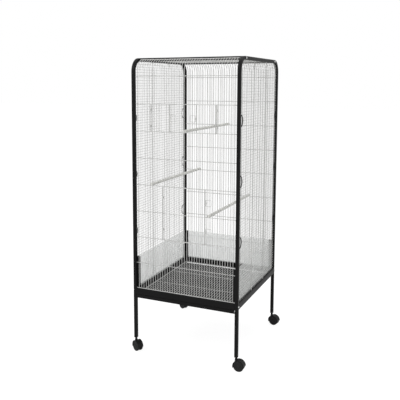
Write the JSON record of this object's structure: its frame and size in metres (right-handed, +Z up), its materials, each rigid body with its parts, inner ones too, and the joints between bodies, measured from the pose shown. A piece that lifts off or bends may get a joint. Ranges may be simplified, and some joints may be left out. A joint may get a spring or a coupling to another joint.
{
  "type": "bird cage",
  "caption": "Tall wire flight cage with a bent square-tube frame, hinged wire doors with latches, perches, seed guards, floor grille, slide-out tray and swivel castors.",
  "frame": {"origin": "on the floor under the middle of the cage", "axes": "+Z up, -Y towards the doors and the tray's front, +X to the right seen from the front"},
  "size_m": [0.6124, 0.6526, 1.43],
  "materials": {
    "black_frame": "black powder coat",
    "silver_wire": "pale plated wire",
    "bolt_steel": "zinc plated",
    "loop_rod": "black coated rod",
    "strip_plastic": "black extruded plastic",
    "clear_guard": "cloudy clear sheet",
    "perch_plastic": "pale grey plastic",
    "castor_plastic": "black nylon",
    "castor_wheel": "black tread"
  },
  "bodies": {
    "cage": {"left_side_frame": "black_frame", "right_side_frame": "black_frame", "front_bottom_rail": "black_frame", "back_bottom_rail": "black_frame", "left_bottom_rail": "black_frame", "right_bottom_rail": "black_frame", "front_top_rail": "black_frame", "back_top_rail": "black_frame", "left_runner": "black_frame", "right_runner": "black_frame", "front_wall": "silver_wire", "front_wall_crown": "silver_wire", "back_wall": "silver_wire", "back_wall_crown": "silver_wire", "left_side_mesh": "silver_wire", "right_side_mesh": "silver_wire", "roof_mesh": "silver_wire", "main_door_hinge_clips": "silver_wire", "upper_left_hinge_clips": "silver_wire", "upper_right_hinge_clips": "silver_wire", "floor_grille": "silver_wire", "left_frame_bolts": "bolt_steel", "right_frame_bolts": "bolt_steel", "front_left_post_loops": "loop_rod", "front_right_post_loops": "loop_rod", "back_left_post_loops": "loop_rod", "back_right_post_loops": "loop_rod", "front_left_guard_strip": "strip_plastic", "front_right_guard_strip": "strip_plastic", "back_left_guard_strip": "strip_plastic", "back_right_guard_strip": "strip_plastic", "left_guard": "clear_guard", "right_guard": "clear_guard", "back_guard": "clear_guard", "upper_perch": "perch_plastic", "middle_perch": "perch_plastic", "lower_perch": "perch_plastic", "front_left_castor_plug": "castor_plastic", "front_right_castor_plug": "castor_plastic", "back_left_castor_plug": "castor_plastic", "back_right_castor_plug": "castor_plastic"},
    "main_door": {"main_door": "silver_wire"},
    "upper_left_door": {"upper_left_door": "silver_wire"},
    "upper_right_door": {"upper_right_door": "silver_wire"},
    "main_upper_latch": {"main_upper_latch": "silver_wire"},
    "main_lower_latch": {"main_lower_latch": "silver_wire"},
    "upper_left_latch": {"upper_left_latch": "silver_wire"},
    "upper_right_latch": {"upper_right_latch": "silver_wire"},
    "tray": {"tray_pan": "black_frame", "tray_front": "black_frame"},
    "front_left_castor": {"front_left_castor_housing": "castor_plastic"},
    "front_left_wheels": {"front_left_castor_wheels": "castor_wheel"},
    "front_right_castor": {"front_right_castor_housing": "castor_plastic"},
    "front_right_wheels": {"front_right_castor_wheels": "castor_wheel"},
    "back_left_castor": {"back_left_castor_housing": "castor_plastic"},
    "back_left_wheels": {"back_left_castor_wheels": "castor_wheel"},
    "back_right_castor": {"back_right_castor_housing": "castor_plastic"},
    "back_right_wheels": {"back_right_castor_wheels": "castor_wheel"}
  },
  "joints": [
    {"name": "main_door_hinge", "type": "hinge", "parent": "cage", "child": "main_door", "pos_m": [-0.10965, -0.2949, 0.70275], "axis": [0, 0, -1], "range_deg": [0, 150]},
    {"name": "upper_left_door_hinge", "type": "hinge", "parent": "cage", "child": "upper_left_door", "pos_m": [-0.17315, -0.2949, 1.15162], "axis": [0, 0, -1], "range_deg": [0, 150]},
    {"name": "upper_right_door_hinge", "type": "hinge", "parent": "cage", "child": "upper_right_door", "pos_m": [0.16045, -0.2949, 1.15162], "axis": [0, 0, 1], "range_deg": [0, 150]},
    {"name": "main_upper_latch_swing", "type": "hinge", "parent": "main_door", "child": "main_upper_latch", "pos_m": [0.1086, -0.2949, 0.76944], "axis": [0, 0, -1], "range_deg": [0, 110]},
    {"name": "main_lower_latch_swing", "type": "hinge", "parent": "main_door", "child": "main_lower_latch", "pos_m": [0.1086, -0.2949, 0.63606], "axis": [0, 0, -1], "range_deg": [0, 110]},
    {"name": "upper_left_latch_swing", "type": "hinge", "parent": "upper_left_door", "child": "upper_left_latch", "pos_m": [-0.0692, -0.2949, 1.15162], "axis": [0, 0, -1], "range_deg": [0, 110]},
    {"name": "upper_right_latch_swing", "type": "hinge", "parent": "upper_right_door", "child": "upper_right_latch", "pos_m": [0.0565, -0.2949, 1.15162], "axis": [0, 0, 1], "range_deg": [0, 110]},
    {"name": "tray_slide", "type": "slide", "parent": "cage", "child": "tray", "axis": [0, -1, 0], "range_m": [0, 0.4]},
    {"name": "front_left_castor_swivel", "type": "hinge", "parent": "cage", "child": "front_left_castor", "pos_m": [-0.262, -0.292, 0.06], "axis": [0, 0, 1], "continuous": true},
    {"name": "front_left_wheels_roll", "type": "hinge", "parent": "front_left_castor", "child": "front_left_wheels", "pos_m": [-0.24988, -0.299, 0.025], "axis": [0.5, 0.866, 0], "continuous": true},
    {"name": "front_right_castor_swivel", "type": "hinge", "parent": "cage", "child": "front_right_castor", "pos_m": [0.262, -0.292, 0.06], "axis": [0, 0, 1], "continuous": true},
    {"name": "front_right_wheels_roll", "type": "hinge", "parent": "front_right_castor", "child": "front_right_wheels", "pos_m": [0.276, -0.292, 0.025], "axis": [0, 1, 0], "continuous": true},
    {"name": "back_left_castor_swivel", "type": "hinge", "parent": "cage", "child": "back_left_castor", "pos_m": [-0.262, 0.292, 0.06], "axis": [0, 0, 1], "continuous": true},
    {"name": "back_left_wheels_roll", "type": "hinge", "parent": "back_left_castor", "child": "back_left_wheels", "pos_m": [-0.27412, 0.299, 0.025], "axis": [-0.5, -0.866, 0], "continuous": true},
    {"name": "back_right_castor_swivel", "type": "hinge", "parent": "cage", "child": "back_right_castor", "pos_m": [0.262, 0.292, 0.06], "axis": [0, 0, 1], "continuous": true},
    {"name": "back_right_wheels_roll", "type": "hinge", "parent": "back_right_castor", "child": "back_right_wheels", "pos_m": [0.27569, 0.28909, 0.025], "axis": [0.2079, 0.9781, 0], "continuous": true}
  ]
}
